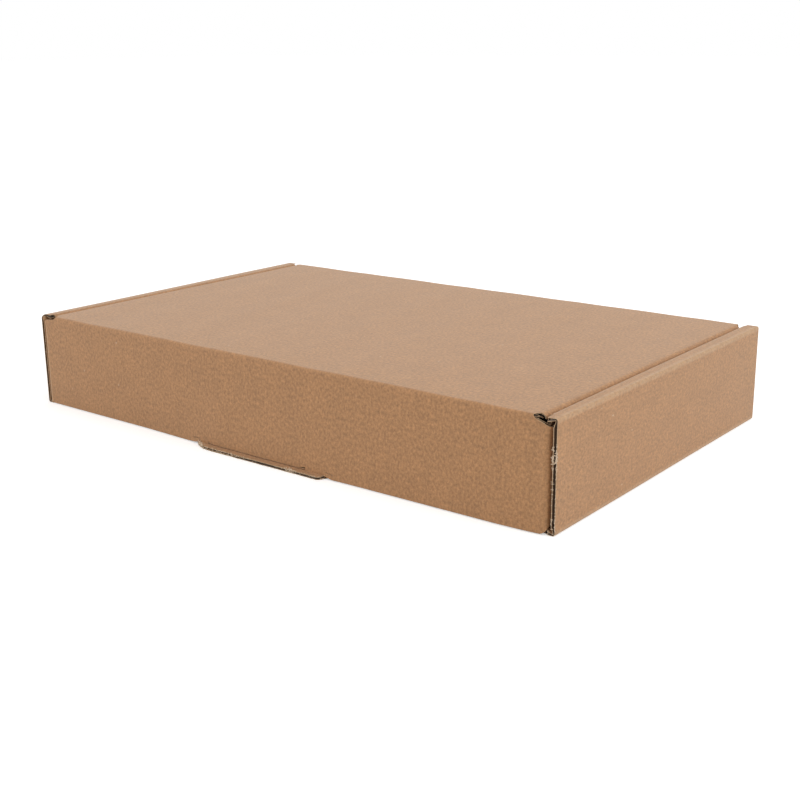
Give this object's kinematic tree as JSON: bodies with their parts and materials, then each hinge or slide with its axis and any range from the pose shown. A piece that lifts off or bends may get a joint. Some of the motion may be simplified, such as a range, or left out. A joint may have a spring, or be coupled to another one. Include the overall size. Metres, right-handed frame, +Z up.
{
  "type": "letterbox mailer box",
  "caption": "Shallow kraft corrugated mailer with rolled-over side walls, a hinged front flap and a lock tab at the flap's foot.",
  "frame": {"origin": "centre of the base's underside, on the surface the box stands on", "axes": "+X along the box's length to its right side wall, +Y from the front flap to the back wall, +Z up to the lid"},
  "size_m": [0.243, 0.1527, 0.037],
  "materials": {
    "kraft_board": "matt unprinted kraft liner"
  },
  "bodies": {
    "box": {"tray": "kraft_board", "lid": "kraft_board"},
    "front_flap": {"front_flap": "kraft_board"}
  },
  "joints": [
    {"name": "front_flap_hinge", "type": "hinge", "parent": "box", "child": "front_flap", "pos_m": [0, -0.07375, 0.037], "axis": [-1, 0, 0], "range_deg": [0, 150]}
  ]
}
